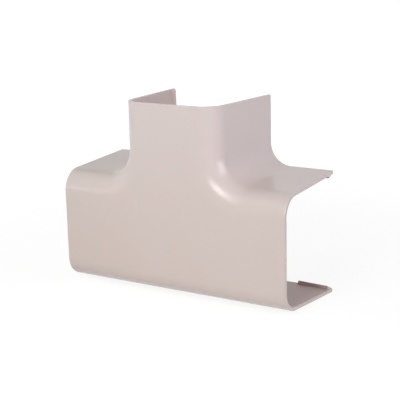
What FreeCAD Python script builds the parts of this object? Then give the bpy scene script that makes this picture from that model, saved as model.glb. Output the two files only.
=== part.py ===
# Trunking tee cover: one moulded piece that snaps over a tee joint of wall trunking.
#
# Frame, in millimetres: the origin is in the plane of the wall, where the centre line of the run
# crosses the centre line of the branch. +X goes along the run, +Y into the wall, +Z up the branch.
# The cover's back is open at Y = 0, and its flat front face is at Y = -depth.

import FreeCAD
import Part
import Sketcher
import math
import os

Vector = FreeCAD.Vector

# The driving sizes: name, value in millimetres (the draft in degrees), what it is.
SIZES = [
    ("run_length", 170.0, "run, from open end to open end"),
    ("run_width", 83.0, "run, outside width at the wall"),
    ("branch_width", 78.6, "branch, outside width at the wall"),
    ("branch_reach", 88.5, "from the run's centre line to the branch's rim"),
    ("depth", 67.0, "from the wall to the flat front"),
    ("wall", 2.5, "thickness of every wall"),
    ("draft", 3.7, "lean of the side walls, in degrees"),
    ("front_radius", 14.5, "rounding of the front edge, outside"),
    ("junction_radius", 15.0, "inner corner between run and branch, at the wall"),
    ("lip_length", 22.0, "snap lip, along its wall"),
    ("lip_setback", 1.8, "from the open end to the snap lip"),
    ("lip_high", 2.6, "snap lip's height at its inner end"),
    ("lip_low", 1.8, "snap lip's height at its outer end"),
    ("lip_runout", 0.8, "slope that ends the lip towards the open end"),
    ("lip_thick", 3.0, "snap lip, from the plane of the wall forwards"),
    ("lip_lead", 1.0, "lead-in chamfer along the lip's back edge"),
    ("end_round", 0.4, "rounding of the open ends' outer edges"),
]

# Two coordinates this near to each other are the same, when edges and faces are looked for.
NEAR = 0.01

# How constraints number the two ends of a line or an arc, and the sketch's own two axes.
START, END = range(1, 3)
X_AXIS, Z_AXIS = range(-1, -3, -1)

doc = FreeCAD.newDocument("trunking_tee")


def make_sheet():
    """The sheet of driving sizes: name, value and note on each row."""
    table = doc.addObject("Spreadsheet::Sheet", "sizes")
    for row, (name, value, note) in enumerate(SIZES, start=1):
        table.set("A%d" % row, name)
        table.set("B%d" % row, str(value))
        table.set("C%d" % row, note)
        table.setAlias("B%d" % row, name)
    doc.recompute()
    return table


sheet = make_sheet()
cover = doc.addObject("PartDesign::Body", "tee_cover")
cover.Label = "tee_cover"


def value_of(expression):
    """What an expression of the sheet's sizes comes to now."""
    return float(cover.evalExpression(expression))


def own_plane(role):
    """One of the body's own three planes."""
    return [item for item in cover.Origin.OriginFeatures if item.Role == role][0]


# The plane of the wall is at Y = 0. The middle plane is at X = 0 and halves the cover.
WALL_PLANE = own_plane("XZ_Plane")
MIDDLE_PLANE = own_plane("YZ_Plane")


def wall_sketch(name):
    """An empty sketch in the plane of the wall: its x is +X, its y is +Z, and it faces -Y."""
    sketch = cover.newObject("Sketcher::SketchObject", name)
    sketch.AttachmentSupport = [(WALL_PLANE, "")]
    sketch.MapMode = "FlatFace"
    return sketch


def dimension(sketch, name, expression, kind, *where):
    """A named dimension, tied to an expression of the sheet's sizes."""
    constraint = Sketcher.Constraint(kind, *where, value_of(expression))
    sketch.renameConstraint(sketch.addConstraint(constraint), name)
    sketch.setExpression("Constraints." + name, expression)


def add_line(sketch, x0, z0, x1, z1):
    """A straight line between two points."""
    return sketch.addGeometry(Part.LineSegment(Vector(x0, z0, 0), Vector(x1, z1, 0)))


def add_arc(sketch, x, z, radius, first, last):
    """A round corner: an arc about a centre, from one angle to another, in degrees."""
    circle = Part.Circle(Vector(x, z, 0), Vector(0, 0, 1), radius)
    arc = Part.ArcOfCircle(circle, math.radians(first), math.radians(last))
    return sketch.addGeometry(arc)


def draw_tee(sketch):
    """The cover's outline at the wall: a tee with two round inner corners."""
    right = value_of("sizes.run_length / 2")
    top = value_of("sizes.branch_reach")
    run = value_of("sizes.run_width / 2")
    branch = value_of("sizes.branch_width / 2")
    radius = value_of("sizes.junction_radius")

    bottom = add_line(sketch, -right, -run, right, -run)
    right_end = add_line(sketch, right, -run, right, run)
    right_top = add_line(sketch, right, run, branch + radius, run)
    right_corner = add_arc(sketch, branch + radius, run + radius, radius, 180, 270)
    right_side = add_line(sketch, branch, run + radius, branch, top)
    rim = add_line(sketch, branch, top, -branch, top)
    left_side = add_line(sketch, -branch, top, -branch, run + radius)
    left_corner = add_arc(sketch, -branch - radius, run + radius, radius, 270, 360)
    left_top = add_line(sketch, -branch - radius, run, -right, run)
    left_end = add_line(sketch, -right, run, -right, -run)

    sketch.addConstraint([
        Sketcher.Constraint("Coincident", bottom, END, right_end, START),
        Sketcher.Constraint("Coincident", right_end, END, right_top, START),
        Sketcher.Constraint("Tangent", right_top, END, right_corner, END),
        Sketcher.Constraint("Tangent", right_corner, START, right_side, START),
        Sketcher.Constraint("Coincident", right_side, END, rim, START),
        Sketcher.Constraint("Coincident", rim, END, left_side, START),
        Sketcher.Constraint("Tangent", left_side, END, left_corner, END),
        Sketcher.Constraint("Tangent", left_corner, START, left_top, START),
        Sketcher.Constraint("Coincident", left_top, END, left_end, START),
        Sketcher.Constraint("Coincident", left_end, END, bottom, START),
        Sketcher.Constraint("Symmetric", bottom, START, bottom, END, Z_AXIS),
        Sketcher.Constraint("Symmetric", rim, START, rim, END, Z_AXIS),
        Sketcher.Constraint("Symmetric", right_end, START, right_end, END, X_AXIS),
        Sketcher.Constraint("Equal", right_end, left_end),
        Sketcher.Constraint("Equal", right_corner, left_corner),
        Sketcher.Constraint("Horizontal", right_top),
        Sketcher.Constraint("Horizontal", left_top),
        Sketcher.Constraint("Vertical", left_end),
        Sketcher.Constraint("Vertical", right_side),
        Sketcher.Constraint("Vertical", left_side),
    ])
    dimension(sketch, "run_length", "sizes.run_length",
              "DistanceX", bottom, START, bottom, END)
    dimension(sketch, "run_width", "sizes.run_width",
              "DistanceY", right_end, START, right_end, END)
    dimension(sketch, "branch_width", "sizes.branch_width",
              "DistanceX", rim, END, rim, START)
    dimension(sketch, "branch_reach", "sizes.branch_reach",
              "DistanceY", X_AXIS, START, rim, START)
    dimension(sketch, "junction_radius", "sizes.junction_radius", "Radius", right_corner)


def draw_polygon(sketch, name, corners):
    """A closed outline of straight lines; each corner is a pair of expressions for x and z."""
    points = [(value_of(x), value_of(z)) for x, z in corners]
    sides = []
    for here, there in zip(points, points[1:] + points[:1]):
        sides.append(add_line(sketch, *here, *there))
    for side, following in zip(sides, sides[1:] + sides[:1]):
        sketch.addConstraint(Sketcher.Constraint("Coincident", side, END, following, START))
    for number, (side, (x, z)) in enumerate(zip(sides, corners)):
        place = "%s_%d" % (name, number)
        dimension(sketch, place + "_x", x, "DistanceX", X_AXIS, START, side, START)
        dimension(sketch, place + "_z", z, "DistanceY", X_AXIS, START, side, START)


def lip_corners(half_width, end):
    """A snap lip seen from the wall, as pairs of expressions: along the leg, and across it.

    It stands on the inside of the wall, and its root lies at the middle of the wall's thickness.
    From its high inner end it slopes down towards the open end, and then runs out.
    """
    root = "(%s - sizes.wall / 2)" % half_width
    inside = "%s - sizes.wall / cos(sizes.draft)" % half_width
    outer = "%s - sizes.lip_setback" % end
    inner = "%s - sizes.lip_length" % outer
    return [
        (inner, root),
        (outer, root),
        (outer, inside),
        (outer + " - sizes.lip_runout", inside + " - sizes.lip_low"),
        (inner, inside + " - sizes.lip_high"),
    ]


def draw_run_lips(sketch):
    """The two lips at the run's right end, one on the lower wall and one on the upper."""
    corners = lip_corners("sizes.run_width / 2", "sizes.run_length / 2")
    draw_polygon(sketch, "upper", corners)
    draw_polygon(sketch, "lower", [(x, "-(%s)" % z) for x, z in corners])


def draw_branch_lip(sketch):
    """The lip on the branch's right wall, under the rim."""
    corners = lip_corners("sizes.branch_width / 2", "sizes.branch_reach")
    draw_polygon(sketch, "right", [(across, along) for along, across in corners])


def add_feature(kind, name, **values):
    """A new feature at the end of the body. Text that names a size becomes an expression."""
    feature = cover.newObject("PartDesign::" + kind, name)
    for key, value in values.items():
        if isinstance(value, str) and "sizes." in value:
            feature.setExpression(key, value)
        else:
            setattr(feature, key, value)
    doc.recompute()
    return feature


def edges_where(feature, wanted):
    """The names of a feature's edges for which wanted is true."""
    edges = enumerate(feature.Shape.Edges, start=1)
    return ["Edge%d" % number for number, edge in edges if wanted(edge)]


def faces_where(feature, wanted):
    """The names of a feature's faces for which wanted is true."""
    faces = enumerate(feature.Shape.Faces, start=1)
    return ["Face%d" % number for number, face in faces if wanted(face)]


def lies_at(item, axis, place):
    """Whether all of an edge or a face lies at one coordinate along an axis."""
    box = item.BoundBox
    low, high = {
        "X": (box.XMin, box.XMax),
        "Y": (box.YMin, box.YMax),
        "Z": (box.ZMin, box.ZMax),
    }[axis]
    return abs(low - place) < NEAR and abs(high - place) < NEAR


def at_open_end(item):
    """Whether an edge or a face lies in the plane of one of the three open ends."""
    half = value_of("sizes.run_length / 2")
    reach = value_of("sizes.branch_reach")
    return lies_at(item, "X", half) or lies_at(item, "X", -half) or lies_at(item, "Z", reach)


def middle_of(edge):
    """The point halfway along an edge."""
    return edge.valueAt((edge.FirstParameter + edge.LastParameter) / 2)


def slopes_at_wall(edge):
    """Whether an edge is a straight one in the plane of the wall that runs along no axis.

    Only the inner edges of the snap lips do that.
    """
    straight = edge.Curve.TypeId == "Part::GeomLine"
    box = edge.BoundBox
    return straight and lies_at(edge, "Y", 0) and min(box.XLength, box.ZLength) > NEAR


def build_block():
    """The solid tee: straight walls first, then their lean, then the rounding of the front edge."""
    outline = wall_sketch("tee_outline")
    draw_tee(outline)
    block = add_feature("Pad", "block", Profile=outline, Length="sizes.depth")

    front = value_of("-sizes.depth")
    sides = faces_where(block, lambda face: not (
        lies_at(face, "Y", 0) or lies_at(face, "Y", front) or at_open_end(face)))
    leaning = add_feature("Draft", "leaning_walls", Base=(block, sides),
                          NeutralPlane=(WALL_PLANE, [""]), Angle="sizes.draft")
    # The lean needs a second pass, because its plane counts only once the feature exists.
    leaning.touch()
    doc.recompute()

    edges = edges_where(leaning, lambda edge: lies_at(edge, "Y", front) and not at_open_end(edge))
    return add_feature("Fillet", "front_rounding", Radius="sizes.front_radius",
                       Base=(leaning, edges))


def hollow_out(block):
    """The shell: walls of one thickness, open at the back and at the three ends."""
    openings = faces_where(block, lambda face: at_open_end(face) or lies_at(face, "Y", 0))
    return add_feature("Thickness", "shell", Value="sizes.wall", Reversed=True, Mode="Skin",
                       Join="Intersection", Base=(block, openings))


def add_lips():
    """Six snap lips inside the back edge: two at each open end, with a lead-in at the wall."""
    run_outline = wall_sketch("run_lip_outlines")
    draw_run_lips(run_outline)
    run_lips = add_feature("Pad", "run_lips", Profile=run_outline, Length="sizes.lip_thick")

    branch_outline = wall_sketch("branch_lip_outline")
    draw_branch_lip(branch_outline)
    branch_lip = add_feature("Pad", "branch_lip", Profile=branch_outline,
                             Length="sizes.lip_thick")

    lips = add_feature("Mirrored", "lips_on_the_left", Originals=[run_lips, branch_lip],
                       MirrorPlane=(MIDDLE_PLANE, [""]))
    cover.Tip = lips
    return add_feature("Chamfer", "lip_lead_in", Size="sizes.lip_lead",
                       Base=(lips, edges_where(lips, slopes_at_wall)))


def round_ends(lipped, block):
    """Round the outer edges of the three open ends: those that the solid tee had there too."""
    outer = [middle_of(edge) for edge in block.Shape.Edges if at_open_end(edge)]

    def is_outer(edge):
        here = middle_of(edge)
        return at_open_end(edge) and any(here.distanceToPoint(place) < NEAR for place in outer)

    return add_feature("Fillet", "end_rounding", Radius="sizes.end_round",
                       Base=(lipped, edges_where(lipped, is_outer)))


def check_document():
    """Stop if an object didn't compute, or if a shape is missing or isn't sound."""
    for item in doc.Objects:
        if "Invalid" in item.State or "Error" in item.State:
            raise RuntimeError("%s is not computed: %s" % (item.Name, item.State))
        shape = getattr(item, "Shape", None)
        if shape is not None and (shape.isNull() or not shape.isValid()):
            raise RuntimeError("%s has no sound shape" % item.Name)
    if len(cover.Shape.Solids) != 1:
        raise RuntimeError("the cover is not one solid")


solid_tee = build_block()
hollow_out(solid_tee)
lipped_tee = add_lips()
cover.Tip = round_ends(lipped_tee, solid_tee)
cover.Placement = FreeCAD.Placement()
doc.recompute()
check_document()

os.makedirs("parts", exist_ok=True)
cover.Shape.exportStep("parts/tee_cover.step")
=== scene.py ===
# %% [markdown]
# # A moulded tee cover for wall trunking
#
# Pipes or cables run along a wall inside trunking. Where one line of it branches off another, a
# tee-shaped cover goes over the meeting point and clips on. It is one piece of moulded plastic,
# 2.5 mm thick. Its three ends are open, and so is its whole back, which lies on the wall.
#
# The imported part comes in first, as a fixed frame. Everything below is in metres, in that frame:
# X runs along the long leg, Y goes into the wall, and Z goes up the short leg.

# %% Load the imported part
import math

import bmesh
import bpy
import numpy as np
from mathutils import Matrix, Vector


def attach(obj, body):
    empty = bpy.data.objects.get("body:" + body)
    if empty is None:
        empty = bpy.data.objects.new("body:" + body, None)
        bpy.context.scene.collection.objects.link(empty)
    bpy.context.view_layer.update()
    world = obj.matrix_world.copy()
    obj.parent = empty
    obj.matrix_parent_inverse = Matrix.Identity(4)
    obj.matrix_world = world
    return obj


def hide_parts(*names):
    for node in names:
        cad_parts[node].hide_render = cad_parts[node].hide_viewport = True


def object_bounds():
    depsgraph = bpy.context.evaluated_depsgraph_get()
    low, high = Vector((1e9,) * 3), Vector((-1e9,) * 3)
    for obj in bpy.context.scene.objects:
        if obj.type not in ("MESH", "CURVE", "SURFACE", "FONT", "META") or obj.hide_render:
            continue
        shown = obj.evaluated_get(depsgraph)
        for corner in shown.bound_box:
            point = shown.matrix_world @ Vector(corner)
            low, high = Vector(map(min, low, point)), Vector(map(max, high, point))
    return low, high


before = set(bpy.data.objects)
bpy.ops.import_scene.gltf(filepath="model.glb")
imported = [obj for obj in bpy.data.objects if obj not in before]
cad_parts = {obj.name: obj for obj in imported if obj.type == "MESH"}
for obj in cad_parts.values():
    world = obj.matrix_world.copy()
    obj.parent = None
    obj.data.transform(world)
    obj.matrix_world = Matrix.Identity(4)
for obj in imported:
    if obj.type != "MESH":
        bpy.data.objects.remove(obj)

cad_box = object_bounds()
print("nodes:", sorted(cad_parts))
print("box of the packed part:", [tuple(round(v, 4) for v in corner) for corner in cad_box])

# %% [markdown]
# ## The sizes
#
# A cover like this is described by few numbers: the two legs, the depth, the thickness, the lean of
# the side walls, and two radii. The long leg is called the run, and the short one the branch. The
# side walls lean so that the part slides out of its mould. The sizes could be typed in wherever a
# shape needs them, but then one change would have to be made in many places. Here every skin and
# rim is worked out from these few, and the lips find their places from them.

# %% Sizes, in metres
MM = 0.001
HALF_RUN = 85.0 * MM
RUN_HALF_WIDTH = 41.5 * MM
BRANCH_HALF_WIDTH = 39.3 * MM
BRANCH_TOP = 88.5 * MM
DEPTH = 67.0 * MM
WALL = 2.5 * MM
LEAN = math.radians(3.7)
FRONT_RADIUS = 14.5 * MM
CORNER_RADIUS = 15.0 * MM
print("overall:", 2 * HALF_RUN, "by", DEPTH, "by", round(RUN_HALF_WIDTH + BRANCH_TOP, 4), "m")

# %% [markdown]
# ## The cross-section
#
# Cut through a side wall anywhere, at a right angle to it, and the same line shows: straight and
# leaning inwards at first, then a large arc, then the flat front. So the section is worked out once.
# It is kept as two numbers for each point: how far the point lies inwards from the outline at the
# back, and its Y. A bevelled block would look the same from outside, but its inner skin would still
# have to be made. Here that skin uses the same arc centre with a smaller radius, so the cover is
# equally thick all the way round.

# %% The section of a side wall
LEAN_STEPS = 26
ARC_STEPS = 26
ARC_Y = FRONT_RADIUS - DEPTH
ARC_INWARDS = (DEPTH - FRONT_RADIUS) * math.tan(LEAN) + FRONT_RADIUS / math.cos(LEAN)


def section(inset):
    """Inward distances and Y values of the section, from the back to the flat front.

    The line starts at inset / cos(lean) in the plane of the back and meets the arc where both have
    the same direction. The arc has the radius of the front edge less the inset, about a fixed
    centre, and it turns from the side wall's direction to the front's: centre minus radius times
    (cos, sin) of an angle that grows from the lean to 90 degrees.
    """
    radius = FRONT_RADIUS - inset
    angle = np.linspace(LEAN, math.pi / 2, ARC_STEPS + 1)
    arc_inwards = ARC_INWARDS - radius * np.cos(angle)
    arc_y = ARC_Y - radius * np.sin(angle)
    part = np.linspace(0.0, 1.0, LEAN_STEPS + 1)[:-1]
    start = inset / math.cos(LEAN)
    line_inwards = start + (arc_inwards[0] - start) * part
    line_y = arc_y[0] * part
    return np.concatenate([line_inwards, arc_inwards]), np.concatenate([line_y, arc_y])


print("flat front starts", round(ARC_INWARDS / MM, 2), "mm inwards from the outline")

# %% [markdown]
# ## The outline at the back
#
# Seen from the front, the cover is a tee. Its outline has three parts: the straight lower edge, and
# on each side an edge that runs along the top of the long leg, bends up through a round corner and
# follows the short leg. It could be drawn as a curve object, but each point also needs the
# direction that leads inwards, and a formula gives both. In the round corner that direction points
# away from the corner's centre, so the corner's radius grows as the section moves inwards. That is
# what makes the front rounding sweep so widely round the corner.

# %% Outline points and their inward directions
RUN_STEPS = 16
CORNER_STEPS = 36
BRANCH_STEPS = 16
CORNER_X = BRANCH_HALF_WIDTH + CORNER_RADIUS
CORNER_Z = RUN_HALF_WIDTH + CORNER_RADIUS


def right_edge():
    """Points from the long leg's right end to the short leg's rim, with inward directions.

    First z stays and x falls, with "down" as the inward direction. Then centre plus radius times
    (cos, sin) of an angle that falls from 270 to 180 degrees, with that same (cos, sin) as the
    direction. Then x stays and z grows, with "left" as the direction.
    """
    along = np.linspace(HALF_RUN, CORNER_X, RUN_STEPS + 1)[:-1]
    angle = np.linspace(1.5 * math.pi, math.pi, CORNER_STEPS + 1)
    turn = np.stack([np.cos(angle), np.sin(angle)], axis=1)
    up = np.linspace(CORNER_Z, BRANCH_TOP, BRANCH_STEPS + 1)[1:]
    flat = np.stack([along, np.full_like(along, RUN_HALF_WIDTH)], axis=1)
    round_part = np.array([CORNER_X, CORNER_Z]) + CORNER_RADIUS * turn
    upright = np.stack([np.full_like(up, BRANCH_HALF_WIDTH), up], axis=1)
    points = np.concatenate([flat, round_part, upright])
    down = np.tile([0.0, -1.0], (len(flat), 1))
    left = np.tile([-1.0, 0.0], (len(upright), 1))
    return points, np.concatenate([down, turn, left])


def lower_edge(x_values):
    """The straight lower edge at the given x values; its inward direction is "up"."""
    points = np.stack([x_values, np.full_like(x_values, -RUN_HALF_WIDTH)], axis=1)
    return points, np.tile([0.0, 1.0], (len(points), 1))


print("points along the right edge:", len(right_edge()[0]))

# %% [markdown]
# ## Skins
#
# A skin is the section carried along the outline. A curve with a bevel object could carry it too,
# but its points would not fall where the flat front needs them. Here both are arrays, so one line
# of arithmetic gives all points at once: outline point plus inward direction times inward
# distance. The grid has one row for each outline point and one column for each section point.

# %% Carry the section along an edge
def swept_skin(edge, inset):
    """Grid of points: x and z are edge point plus direction times inward distance, and y is
    the section's."""
    points, directions = edge
    inwards, y = section(inset)
    plan = points[:, None, :] + directions[:, None, :] * inwards[None, :, None]
    depth = np.broadcast_to(y, plan.shape[:2])
    return np.stack([plan[..., 0], depth, plan[..., 1]], axis=2)


def mirrored(grid):
    """The same grid on the other side of the middle: x becomes minus x."""
    return grid * np.array([-1.0, 1.0, 1.0])


print("rows, columns of the right outer skin:", swept_skin(right_edge(), 0.0).shape[:2])

# %% [markdown]
# ## The flat front
#
# Inside the roundings, the front is flat and has the shape of a smaller tee. One many-sided face
# would fill it, but such a face shades badly beside a rounding. So it is laid out as two grids
# whose borders meet the swept skins point by point. One is the band of the long leg. The other
# rises from it through the round corners and up the short leg, in straight rows from the left edge
# to the right edge. Because all borders share their points, the seams weld shut later.

# %% The front as two grids
FRONT_ROWS = 18
MIDDLE_STEPS = 40


def front_x_values():
    """X values across the long leg, the same as those of the outline's points at both ends."""
    points, _ = right_edge()
    outer = points[:RUN_STEPS + 1, 0]
    middle = np.linspace(-CORNER_X, CORNER_X, MIDDLE_STEPS + 1)[1:-1]
    return np.concatenate([-outer, middle, outer[::-1]])


def front_band(inset):
    """The long leg's front: every x value across, at evenly spaced heights, at one depth."""
    x = front_x_values()
    half = RUN_HALF_WIDTH - ARC_INWARDS
    z = np.linspace(-half, half, FRONT_ROWS + 1)
    gx, gz = np.meshgrid(x, z, indexing="ij")
    return np.stack([gx, np.full_like(gx, inset - DEPTH), gz], axis=2)


def front_tower(inset):
    """The short leg's front: each row goes evenly from minus x to plus x of the right border."""
    border = swept_skin(right_edge(), inset)[RUN_STEPS:, -1]
    share = np.linspace(-1.0, 1.0, MIDDLE_STEPS + 1)
    gx = border[:, 0][:, None] * share[None, :]
    gz = np.broadcast_to(border[:, 2][:, None], gx.shape)
    return np.stack([gx, np.full_like(gx, inset - DEPTH), gz], axis=2)


print("rows, columns of the front:", front_band(0.0).shape[:2], "and", front_tower(0.0).shape[:2])

# %% [markdown]
# ## Two skins and their rims
#
# The outer and the inner skin are made by the same functions with another inset, so their borders
# have the same number of points. A rim is then just a strip between two matching borders. A
# Solidify modifier would be quicker, but it moves each border along the skin's own normal, and the
# rims of the leaning side walls would no longer lie flat in the plane of the back.

# %% Collect every grid of the shell
OUTSIDE, INSIDE = 0, 1


def skin_grids(inset):
    """All grids of one skin, by name."""
    right = swept_skin(right_edge(), inset)
    return {
        "right": right,
        "left": mirrored(right),
        "lower": swept_skin(lower_edge(front_x_values()), inset),
        "band": front_band(inset),
        "tower": front_tower(inset),
    }


def rims(outer, inner):
    """Strips of faces between matching borders: along the back, then round the open ends.

    The first column of each swept skin lies at the back. The first and last rows of all grids lie
    at open ends, apart from the tower's first row, which meets the band.
    """
    at_back = [(outer[name][:, 0], inner[name][:, 0]) for name in ("right", "left", "lower")]
    first = [(outer[name][0], inner[name][0]) for name in ("right", "left", "lower", "band")]
    last = [(outer[name][-1], inner[name][-1]) for name in outer]
    return [np.stack(borders, axis=0) for borders in at_back + first + last]


outer_skin = skin_grids(0.0)
inner_skin = skin_grids(WALL)
shell_grids = [(grid, OUTSIDE) for grid in [*outer_skin.values(), *rims(outer_skin, inner_skin)]]
shell_grids += [(grid, INSIDE) for grid in inner_skin.values()]
print("grids in the shell:", len(shell_grids))

# %% [markdown]
# ## The lips
#
# Six small lips stand on the inside of the side walls, close to the back, two at each open end.
# They catch behind the trunking's edges. Each is highest at its inner end and a little lower at the
# outer one. Its crest runs a few millimetres from the plane of the back. Towards the cover's front
# a short, steep face drops from the crest, and holds. Towards the back a long ramp falls away, so
# that the cover rides over the trunking when it is pushed on. Six cubes could be edited into that
# form by hand. But a lip is only a short solid with three layers of five corners, so it is written
# as one small array and placed six times.

# %% The corners of one lip
LIP_LENGTH = 23.0 * MM
LIP_SETBACK = 0.7 * MM
LIP_HIGH = 3.1 * MM
LIP_LOW = 2.5 * MM
LIP_RUNOUT = 0.8 * MM
LIP_ROOT = WALL / 2
FOOT_TO_BACK = 4.8 * MM
FOOT_HEIGHT = 0.3 * MM
CREST_TO_BACK = 3.8 * MM
RAMP_DROP = 2.0 * MM
CLEAR_OF_RIM = 0.05 * MM


def lip_outline(low, high):
    """Five corners as (distance from the open end, height over the side wall).

    Two form a root that is sunk into the side wall. The others start on its surface at the near
    end, rise over a short run-out to the low height, and reach the high one at the far end.
    """
    near, far = LIP_SETBACK, LIP_SETBACK + LIP_LENGTH
    root = [[far, -LIP_ROOT], [near, -LIP_ROOT]]
    return np.array(root + [[near, 0.0], [near + LIP_RUNOUT, low], [far, high]])


def lip_layers():
    """Three layers of corners as (distance from the open end, height over the side wall, y).

    The first layer is the foot of the steep face, and the middle one is the crest. In the last one
    the two upper corners are lower than the crest by the ramp's drop. That layer ends a hair before
    the back, so that it never lies in the same plane as the rim beside it.
    """
    layers = [
        (lip_outline(FOOT_HEIGHT, FOOT_HEIGHT), -FOOT_TO_BACK),
        (lip_outline(LIP_LOW, LIP_HIGH), -CREST_TO_BACK),
        (lip_outline(LIP_LOW - RAMP_DROP, LIP_HIGH - RAMP_DROP), -CLEAR_OF_RIM),
    ]
    return np.stack([np.column_stack([plan, np.full(len(plan), y)]) for plan, y in layers])


print("layers, corners, numbers of a lip:", lip_layers().shape)

# %% [markdown]
# ## Where the lips stand
#
# The two lips at an open end mirror each other, and the left end's lips mirror the right end's. A
# Mirror modifier could copy them, but it works on a whole object, so the lips would have to be
# objects of their own. Here a lip is placed by a sign: minus one turns right into left, or up into
# down.

# %% Six lips from one
def lip_on_run(side_x, side_z):
    """A lip at one end of the long leg, on its upper or lower side wall.

    x is the sign times (half the length minus the distance from the end), and z is the sign times
    (the side wall's inside at the back minus the height).
    """
    away, height, y = np.moveaxis(lip_layers(), 2, 0)
    inside = RUN_HALF_WIDTH - WALL / math.cos(LEAN)
    return np.stack([side_x * (HALF_RUN - away), y, side_z * (inside - height)], axis=2)


def lip_on_branch(side_x):
    """A lip under the rim of the short leg, on its left or right side wall.

    x is the sign times (the side wall's inside at the back minus the height), and z is the rim's
    height minus the distance from it.
    """
    away, height, y = np.moveaxis(lip_layers(), 2, 0)
    inside = BRANCH_HALF_WIDTH - WALL / math.cos(LEAN)
    return np.stack([side_x * (inside - height), y, BRANCH_TOP - away], axis=2)


lips = [lip_on_run(x, z) for x in (-1, 1) for z in (-1, 1)] + [lip_on_branch(x) for x in (-1, 1)]
print("lips:", len(lips))

# %% [markdown]
# ## From grids to faces
#
# The cover is one moulding, so all of its grids and lips go into one list of points and one list of
# faces. Each could be an object of its own, joined later, but that takes many objects and steps.
# Here the faces' order is known, so each one carries the number of its finish from the start.

# %% Points, faces and finishes
def grid_faces(rows, columns, first, wrap=False):
    """Four corner numbers for every cell of a grid of points.

    A point's number is the first one plus row times columns plus column. A cell goes from a point
    to its neighbour in the next column, and back through the same two columns of the next row. A
    wrapped grid also joins its last column to its first.
    """
    r = np.arange(rows - 1)[:, None]
    c = np.arange(columns if wrap else columns - 1)[None, :]
    here = first + r * columns + c
    right = first + r * columns + (c + 1) % columns
    return np.stack([here, right, right + columns, here + columns], axis=2).reshape(-1, 4).tolist()


def lip_faces(layers, corners, first):
    """The faces round a lip, and one face that closes it at each end."""
    last = first + (layers - 1) * corners
    ends = [list(range(start, start + corners)) for start in (first, last)]
    return grid_faces(layers, corners, first, wrap=True) + ends


def points_and_faces():
    """All points, all faces, and for each face its finish: outside with the rims, or inside."""
    points, faces, finishes, first = [], [], [], 0
    parts = [(grid, finish, grid_faces) for grid, finish in shell_grids]
    parts += [(lip, INSIDE, lip_faces) for lip in lips]
    for grid, finish, make_faces in parts:
        rows, columns = grid.shape[:2]
        new_faces = make_faces(rows, columns, first)
        points.append(grid.reshape(-1, 3))
        faces += new_faces
        finishes += [finish] * len(new_faces)
        first += rows * columns
    return np.concatenate(points), faces, finishes


cover_points, cover_faces, cover_finishes = points_and_faces()
print("points:", len(cover_points), "faces:", len(cover_faces))

# %% [markdown]
# ## One closed mesh
#
# So far, neighbouring grids only touch: each shared border is in the list twice, so the shell isn't
# closed, and its seams would show as creases. The points that lie on each other are merged, and all
# normals are made to point outwards. No edge is open then. The lips stay closed little solids of
# their own, with their roots inside the side walls. A Boolean union would cut them in, but it
# leaves long, thin faces.

# %% Weld the borders
WELD_DISTANCE = 0.002 * MM


def welded_mesh(name, points, faces, finishes):
    """A mesh with merged borders, outward normals and a finish for each face."""
    mesh = bpy.data.meshes.new(name)
    mesh.from_pydata(points, [], faces)
    mesh.polygons.foreach_set("material_index", finishes)
    work = bmesh.new()
    work.from_mesh(mesh)
    bmesh.ops.remove_doubles(work, verts=work.verts, dist=WELD_DISTANCE)
    bmesh.ops.recalc_face_normals(work, faces=work.faces)
    open_edges = sum(edge.is_boundary for edge in work.edges)
    work.to_mesh(mesh)
    work.free()
    mesh.polygons.foreach_set("use_smooth", np.ones(len(mesh.polygons), dtype=bool))
    print(name, "faces:", len(mesh.polygons), "open edges:", open_edges)
    return mesh


cover_mesh = welded_mesh("cover_shell", cover_points, cover_faces, cover_finishes)
cover = bpy.data.objects.new("cover_shell", cover_mesh)
bpy.context.scene.collection.objects.link(cover)

# %% [markdown]
# ## Edges
#
# A moulded rim is never quite sharp. The rounding could be part of the section, but the open ends
# and the lips have edges too, at many different angles. A Bevel modifier rounds them all at once: it
# takes every edge that turns by more than a limit. The wide roundings are made of small turns and
# stay as they are. Hardened normals keep the flat rims flat.

# %% Round the rims
RIM_ROUNDING = 0.4 * MM
RIM_SEGMENTS = 3
SHARP_TURN = math.radians(40)

bevel = cover.modifiers.new("rim_rounding", "BEVEL")
bevel.width = RIM_ROUNDING
bevel.segments = RIM_SEGMENTS
bevel.limit_method = "ANGLE"
bevel.angle_limit = SHARP_TURN
bevel.harden_normals = True
print("rims and lips rounded by", round(bevel.width / MM, 2), "mm")

# %% [markdown]
# ## The surface of the plastic
#
# The real cover is coloured right through in a warm, pale grey with a hint of pink. Looked at
# closely, a moulded face is never quite even: its gloss and tone change a little in wide, soft
# patches, and it has a very fine grain from the mould. A photograph of plastic could be wrapped
# around the part, but the mesh would have to be unwrapped, and its seams would show. Noise in space
# needs no unwrapping and has no seams. Both finishes of the cover use it, so it is made once, as a
# node group.

# %% A shared group: soft patches and fine grain
PATCH_NOISE = {"Detail": 2.0, "Roughness": 0.5}
GRAIN_NOISE = {"Detail": 3.0, "Roughness": 0.6}


def noise(group, vector, scale, settings):
    """A noise texture inside a group, fed with a place and a scale."""
    node = group.nodes.new("ShaderNodeTexNoise")
    for name, value in settings.items():
        node.inputs[name].default_value = value
    group.links.new(vector, node.inputs["Vector"])
    group.links.new(scale, node.inputs["Scale"])
    return node.outputs["Fac"]


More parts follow.
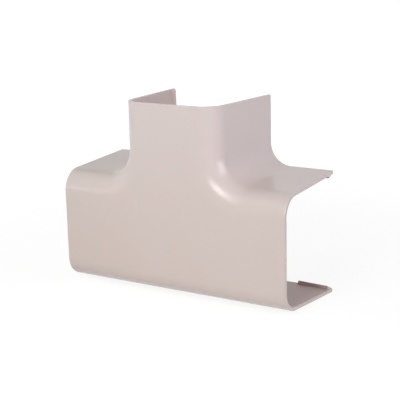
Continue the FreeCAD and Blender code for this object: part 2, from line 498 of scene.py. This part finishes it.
def moulded_surface_group():
    """A node group that puts out wide, soft patches and a very fine grain."""
    group = bpy.data.node_groups.new("moulded_surface", "ShaderNodeTree")
    sockets = group.interface
    sockets.new_socket("Vector", in_out="INPUT", socket_type="NodeSocketVector")
    sockets.new_socket("Patch scale", in_out="INPUT", socket_type="NodeSocketFloat")
    sockets.new_socket("Grain scale", in_out="INPUT", socket_type="NodeSocketFloat")
    sockets.new_socket("Patches", in_out="OUTPUT", socket_type="NodeSocketFloat")
    sockets.new_socket("Grain", in_out="OUTPUT", socket_type="NodeSocketFloat")
    given = group.nodes.new("NodeGroupInput").outputs
    leave = group.nodes.new("NodeGroupOutput")
    patches = noise(group, given["Vector"], given["Patch scale"], PATCH_NOISE)
    grain = noise(group, given["Vector"], given["Grain scale"], GRAIN_NOISE)
    group.links.new(patches, leave.inputs["Patches"])
    group.links.new(grain, leave.inputs["Grain"])
    return group


moulded_surface = moulded_surface_group()
print("group:", moulded_surface.name, "with", len(moulded_surface.nodes), "nodes")

# %% [markdown]
# ## Small helpers for materials
#
# Colours are easiest to read off a screen, as three numbers up to 255. Shaders reckon in light, so
# the numbers have to be converted first. And a material often has to bring one value from its own
# range to another, or to join two values. Each of these is a small function here, because the same
# few node lines would come back in every material.

# %% Colours, ranges and sums
def linear(red, green, blue):
    """A colour written as 0 to 255 screen values, as the linear values that shaders use.

    This is the standard screen curve: a dark value is divided by 12.92, and any other is raised by
    0.055, divided by 1.055 and taken to the power of 2.4.
    """
    screen = np.array([red, green, blue]) / 255.0
    light = np.where(screen <= 0.04045, screen / 12.92, ((screen + 0.055) / 1.055) ** 2.4)
    return (*light.tolist(), 1.0)


def map_range(tree, value, source, target):
    """A node that maps a value from one (low, high) pair onto another."""
    node = tree.nodes.new("ShaderNodeMapRange")
    node.inputs["From Min"].default_value, node.inputs["From Max"].default_value = source
    node.inputs["To Min"].default_value, node.inputs["To Max"].default_value = target
    tree.links.new(value, node.inputs["Value"])
    return node.outputs["Result"]


def joined(tree, operation, one, other):
    """A node that joins two values by an operation such as a sum."""
    node = tree.nodes.new("ShaderNodeMath")
    node.operation = operation
    tree.links.new(one, node.inputs[0])
    tree.links.new(other, node.inputs[1])
    return node.outputs["Value"]


print("middle grey as light:", [round(value, 3) for value in linear(128, 128, 128)[:3]])

# %% [markdown]
# ## A tone that drifts
#
# One flat colour would make the cover look painted. Here the tone drifts a little, from a warmer,
# slightly darker lower edge up to a cooler short leg. A painted gradient could do it, but a formula
# is simpler: the distance along one direction in space, with the soft patches added, says how far a
# spot lies towards the warm tone. It reads Object coordinates, so it stays in place on the piece.

# %% From place to tone
NOISE_RANGE = (0.3, 0.7)
DRIFT_DIRECTION = (0.15, 0.0, 0.99)
DRIFT_RANGE = (-0.02, 0.06)
WARM_SHARE = (0.8, 0.1)
PATCH_SHARE = (-0.1, 0.25)


def tone_factor(tree, place, patches):
    """How far a spot lies towards the warm tone: distance along the drift, plus the patches."""
    along = tree.nodes.new("ShaderNodeVectorMath")
    along.operation = "DOT_PRODUCT"
    along.inputs[1].default_value = DRIFT_DIRECTION
    tree.links.new(place, along.inputs[0])
    drift = map_range(tree, along.outputs["Value"], DRIFT_RANGE, WARM_SHARE)
    return joined(tree, "ADD", drift, map_range(tree, patches, NOISE_RANGE, PATCH_SHARE))


print("the tone drifts over", round((DRIFT_RANGE[1] - DRIFT_RANGE[0]) / MM), "mm")

# %% [markdown]
# ## Two finishes of one plastic
#
# Outside, the mould was polished: light spreads softly over the broad faces, and only the tight
# curve of each inner corner shows a clear streak. Inside, the surface is duller, and its tones are
# painted darker and pinker: painted shade, for the reddish light that bounces about inside the
# channel, as the plastic is the same. Two separate materials could be built by hand, but they
# would drift apart with each change. So one function builds both, with other tones, gloss and grain.

# %% The cover's own materials
REFRACTION = 1.5
SCATTER_SHARE = 0.06
SCATTER_RADIUS = (0.9, 0.6, 0.45)
SCATTER_DEPTH = 1.5 * MM
PATCHES_PER_METRE = 14.0
GRAINS_PER_METRE = 1600.0
GRAIN_STRENGTH = 0.12


def plastic_material(name, cool_tone, warm_tone, roughness, grain_height):
    """Satin moulded plastic: two close tones, a fine grain and a slightly uneven gloss."""
    material = bpy.data.materials.new(name)
    material.use_nodes = True
    tree = material.node_tree
    shader = tree.nodes["Principled BSDF"]
    shader.inputs["IOR"].default_value = REFRACTION
    shader.inputs["Subsurface Weight"].default_value = SCATTER_SHARE
    shader.inputs["Subsurface Radius"].default_value = SCATTER_RADIUS
    shader.inputs["Subsurface Scale"].default_value = SCATTER_DEPTH
    place = tree.nodes.new("ShaderNodeTexCoord").outputs["Object"]
    surface = tree.nodes.new("ShaderNodeGroup")
    surface.node_tree = moulded_surface
    surface.inputs["Patch scale"].default_value = PATCHES_PER_METRE
    surface.inputs["Grain scale"].default_value = GRAINS_PER_METRE
    tree.links.new(place, surface.inputs["Vector"])
    patches = surface.outputs["Patches"]
    tones = tree.nodes.new("ShaderNodeMix")
    tones.data_type = "RGBA"
    tones.inputs["A"].default_value = cool_tone
    tones.inputs["B"].default_value = warm_tone
    tree.links.new(tone_factor(tree, place, patches), tones.inputs["Factor"])
    tree.links.new(tones.outputs["Result"], shader.inputs["Base Color"])
    gloss = map_range(tree, patches, NOISE_RANGE, roughness)
    tree.links.new(gloss, shader.inputs["Roughness"])
    bump = tree.nodes.new("ShaderNodeBump")
    bump.inputs["Strength"].default_value = GRAIN_STRENGTH
    bump.inputs["Distance"].default_value = grain_height
    tree.links.new(surface.outputs["Grain"], bump.inputs["Height"])
    tree.links.new(bump.outputs["Normal"], shader.inputs["Normal"])
    return material


cover.data.materials.append(plastic_material(
    "polished_outside", cool_tone=linear(208, 196, 194), warm_tone=linear(206, 192, 185),
    roughness=(0.20, 0.26), grain_height=0.02 * MM))
# Painted shade: the inside's tones are darker and pinker than the outside's, standing in for the
# reddish light that bounces about inside the channel.
cover.data.materials.append(plastic_material(
    "dull_inside_painted_shade", cool_tone=linear(205, 187, 185), warm_tone=linear(203, 183, 177),
    roughness=(0.42, 0.50), grain_height=0.04 * MM))
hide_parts("tee_cover")
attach(cover, "root")
print("finishes:", [material.name for material in cover.data.materials])

# %% [markdown]
# ## The floor
#
# The cover is shown on plain white. More light would whiten the floor, but it would wash out the
# cover's colour too. So the floor is bright by itself, but only where it is looked at or mirrored.
# On the cover it throws only what a matte white floor throws back. And near the cover a share of
# that floor's real shading shows, which keeps a soft, faint shadow.

# %% A white floor that keeps a shadow
WHITE = (1.0, 1.0, 1.0, 1.0)
MATTE_WHITE = (0.9, 0.9, 0.9, 1.0)
FLOOR_HALF = 3.0
FLOOR_GLOW = 1.1
SHADOW_REACH = (0.15, 0.60)
GLOW_SHARE = (0.8, 1.0)


def seen_directly(tree):
    """1 for camera, glossy and transmission rays, and 0 for the rays that light the object."""
    path = tree.nodes.new("ShaderNodeLightPath").outputs
    seen = joined(tree, "MAXIMUM", path["Is Camera Ray"], path["Is Glossy Ray"])
    return joined(tree, "MAXIMUM", seen, path["Is Transmission Ray"])


def floor_material():
    """Matte white that is mostly its own light to the camera.

    The share of its own light goes from the first GLOW_SHARE to the second as the distance from
    the origin goes from the first SHADOW_REACH to the second, so the shadow fades out evenly.
    """
    material = bpy.data.materials.new("white_floor")
    material.use_nodes = True
    tree = material.node_tree
    tree.nodes.clear()
    matte = tree.nodes.new("ShaderNodeBsdfDiffuse")
    matte.inputs["Color"].default_value = MATTE_WHITE
    glow = tree.nodes.new("ShaderNodeEmission")
    glow.inputs["Color"].default_value = WHITE
    glow.inputs["Strength"].default_value = FLOOR_GLOW
    distance = tree.nodes.new("ShaderNodeVectorMath")
    distance.operation = "LENGTH"
    place = tree.nodes.new("ShaderNodeTexCoord").outputs["Object"]
    tree.links.new(place, distance.inputs[0])
    own = map_range(tree, distance.outputs["Value"], SHADOW_REACH, GLOW_SHARE)
    own.node.interpolation_type = "SMOOTHSTEP"
    mix = tree.nodes.new("ShaderNodeMixShader")
    tree.links.new(joined(tree, "MULTIPLY", seen_directly(tree), own), mix.inputs["Fac"])
    tree.links.new(matte.outputs["BSDF"], mix.inputs[1])
    tree.links.new(glow.outputs["Emission"], mix.inputs[2])
    leave = tree.nodes.new("ShaderNodeOutputMaterial")
    tree.links.new(mix.outputs["Shader"], leave.inputs["Surface"])
    return material


def floor_mesh():
    """A square at the height of the cover's lowest edge."""
    signs = [(-1, -1), (1, -1), (1, 1), (-1, 1)]
    corners = [(x * FLOOR_HALF, y * FLOOR_HALF, cad_box[0].z) for x, y in signs]
    mesh = bpy.data.meshes.new("floor")
    mesh.from_pydata(corners, [], [(0, 1, 2, 3)])
    return mesh


floor = bpy.data.objects.new("floor", floor_mesh())
bpy.context.scene.collection.objects.link(floor)
floor.data.materials.append(floor_material())
print("floor at z =", round(cad_box[0].z, 4), "m")

# %% [markdown]
# ## The sky
#
# Behind the floor's far edge there is only the sky. It is white in the same way: full strength for
# the camera and for mirrored rays, and a faint glow for the light that falls on the cover. A wall
# behind the floor could do the same, but would show a corner line.

# %% A white sky with a faint glow
SKY_LEVEL = 0.06

world = bpy.data.worlds.new("studio")
world.use_nodes = True
bpy.context.scene.world = world
sky = world.node_tree.nodes["Background"]
sky.inputs["Color"].default_value = WHITE
level = map_range(world.node_tree, seen_directly(world.node_tree), (0.0, 1.0), (SKY_LEVEL, 1.0))
world.node_tree.links.new(level, sky.inputs["Strength"])
print("strength of the sky as light:", SKY_LEVEL)

# %% [markdown]
# ## Lamps
#
# A product like this is photographed between large, soft lamps. One sun lamp would light it too,
# but with hard shadows and no broad gleam. A small lamp in front, close by, draws the bright
# crescent on the inner corner. A large lamp above it lights the front. A large one on the right
# lights the short leg's side wall and leaves the faint upright streak above the crescent, and one
# on the left lights the rounded top of the left end. Two weak lamps, low on the left and straight
# above, keep the lower edge and the tops from going dark.

# %% Six soft lamps
def soft_lamp(name, azimuth, elevation, distance, size, watts, colour=(1.0, 1.0, 1.0)):
    """A lamp of the given width and height that faces the middle of the cover.

    Azimuth 0 is straight in front, and 90 is on the right; both angles are in degrees. The
    direction from the cover to the lamp is (sin a * cos e, -cos a * cos e, sin e).
    """
    data = bpy.data.lights.new(name, "AREA")
    data.shape = "RECTANGLE"
    data.size, data.size_y = size
    data.energy = watts
    data.color = colour
    lamp = bpy.data.objects.new(name, data)
    turn, rise = math.radians(azimuth), math.radians(elevation)
    level_part = math.cos(rise)
    away = Vector((math.sin(turn) * level_part, -math.cos(turn) * level_part, math.sin(rise)))
    lamp.location = (cad_box[0] + cad_box[1]) / 2 + distance * away
    lamp.rotation_mode = "QUATERNION"
    lamp.rotation_quaternion = (-away).to_track_quat("-Z", "Y")
    bpy.context.scene.collection.objects.link(lamp)
    return lamp


COOL = (1.0, 0.98, 1.05)
WARM = (1.0, 1.0, 0.95)
NEAR = 0.6
FAR = 2.0
lamps = [
    soft_lamp("key", 9, 26, NEAR, size=(0.17, 0.27), watts=1.2),
    soft_lamp("fill", -4, 41, FAR, size=(1.4, 1.4), watts=12.9, colour=WARM),
    soft_lamp("side", 96, 21, FAR, size=(1.2, 1.3), watts=20.4, colour=COOL),
    soft_lamp("left", -72, 34, FAR, size=(1.9, 1.9), watts=7.4),
    soft_lamp("low", -45, 6.5, FAR, size=(1.0, 0.35), watts=2.6),
    soft_lamp("top", 0, 90, FAR, size=(1.0, 1.0), watts=0.7),
]
print("lamps:", {lamp.name: round(lamp.data.energy, 2) for lamp in lamps})

# %% [markdown]
# ## The camera
#
# The camera stands in front of the cover, to its right and a little above it. It could be placed by
# eye, but then it would hide small errors of the shape. So its place and direction were worked out
# from the picture's own perspective: the long edges, the rims and the corners have to fall where
# they fall in the picture. It is tilted a little about its own axis.

# %% Camera
LENS = 95.99
SENSOR_WIDTH = 36.0
EYE = Vector((0.37831, -0.61673, 0.18712))
RIGHT = Vector((0.843695, 0.536350, -0.022534))
UP = Vector((-0.107351, 0.209697, 0.971855))

camera_data = bpy.data.cameras.new("camera")
camera_data.lens = LENS
camera_data.sensor_width = SENSOR_WIDTH
camera = bpy.data.objects.new("camera", camera_data)
backwards = RIGHT.cross(UP).normalized()
turned = Matrix((RIGHT, UP, backwards)).transposed().to_4x4()
camera.matrix_world = Matrix.Translation(EYE) @ turned
bpy.context.scene.collection.objects.link(camera)
bpy.context.scene.camera = camera
bpy.context.scene.view_settings.view_transform = "Standard"
print("camera sees", round(math.degrees(camera_data.angle), 1), "degrees across")
